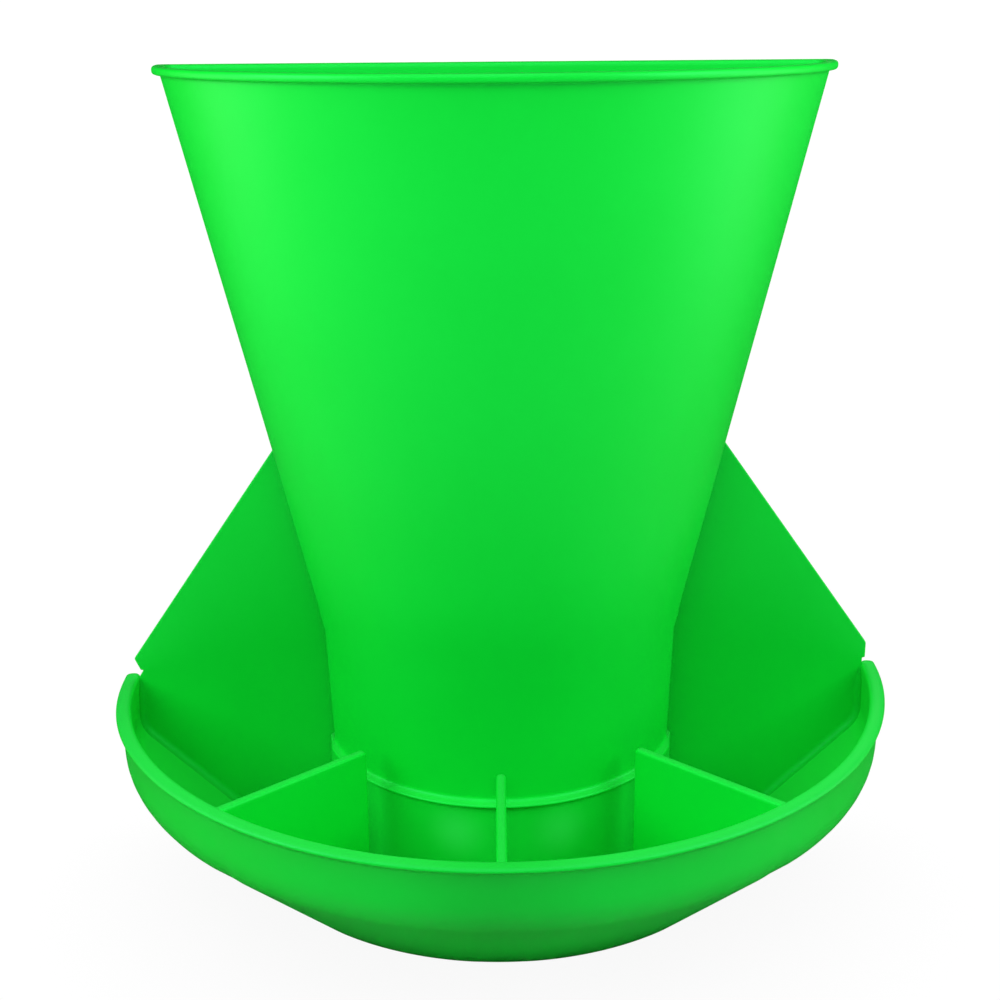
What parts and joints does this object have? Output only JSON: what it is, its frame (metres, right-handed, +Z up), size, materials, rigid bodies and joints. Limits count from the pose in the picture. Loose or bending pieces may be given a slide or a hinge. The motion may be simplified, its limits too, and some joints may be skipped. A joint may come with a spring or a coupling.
{
  "type": "gravity poultry feeder",
  "caption": "Half-round flat-backed gravity feeder: a tapered lift-out hopper over a bowl tray with upright dividers and a sloping-edged back panel.",
  "frame": {"origin": "middle of the overall footprint, on the surface that the base stands on", "axes": "+X to the right seen from the front, +Y to the flat back and the wall, +Z up along the hopper; the rounded tray faces -Y"},
  "size_m": [0.3, 0.15, 0.3005],
  "materials": {
    "hopper": "satin moulded polypropylene, saturated green",
    "tray": "satin moulded polypropylene, saturated green",
    "panel": "finely grained moulded polypropylene, saturated green",
    "divider": "satin moulded polypropylene, saturated green"
  },
  "bodies": {
    "tray": {"tray_bowl": "tray", "back_panel": "panel", "collar": "tray", "divider_left": "divider", "divider_centre": "divider", "divider_right": "divider"},
    "hopper": {"hopper": "hopper"}
  },
  "joints": [
    {"name": "hopper_lift", "type": "slide", "parent": "tray", "child": "hopper", "axis": [0, 0, 1], "range_m": [0, 0.22]}
  ]
}
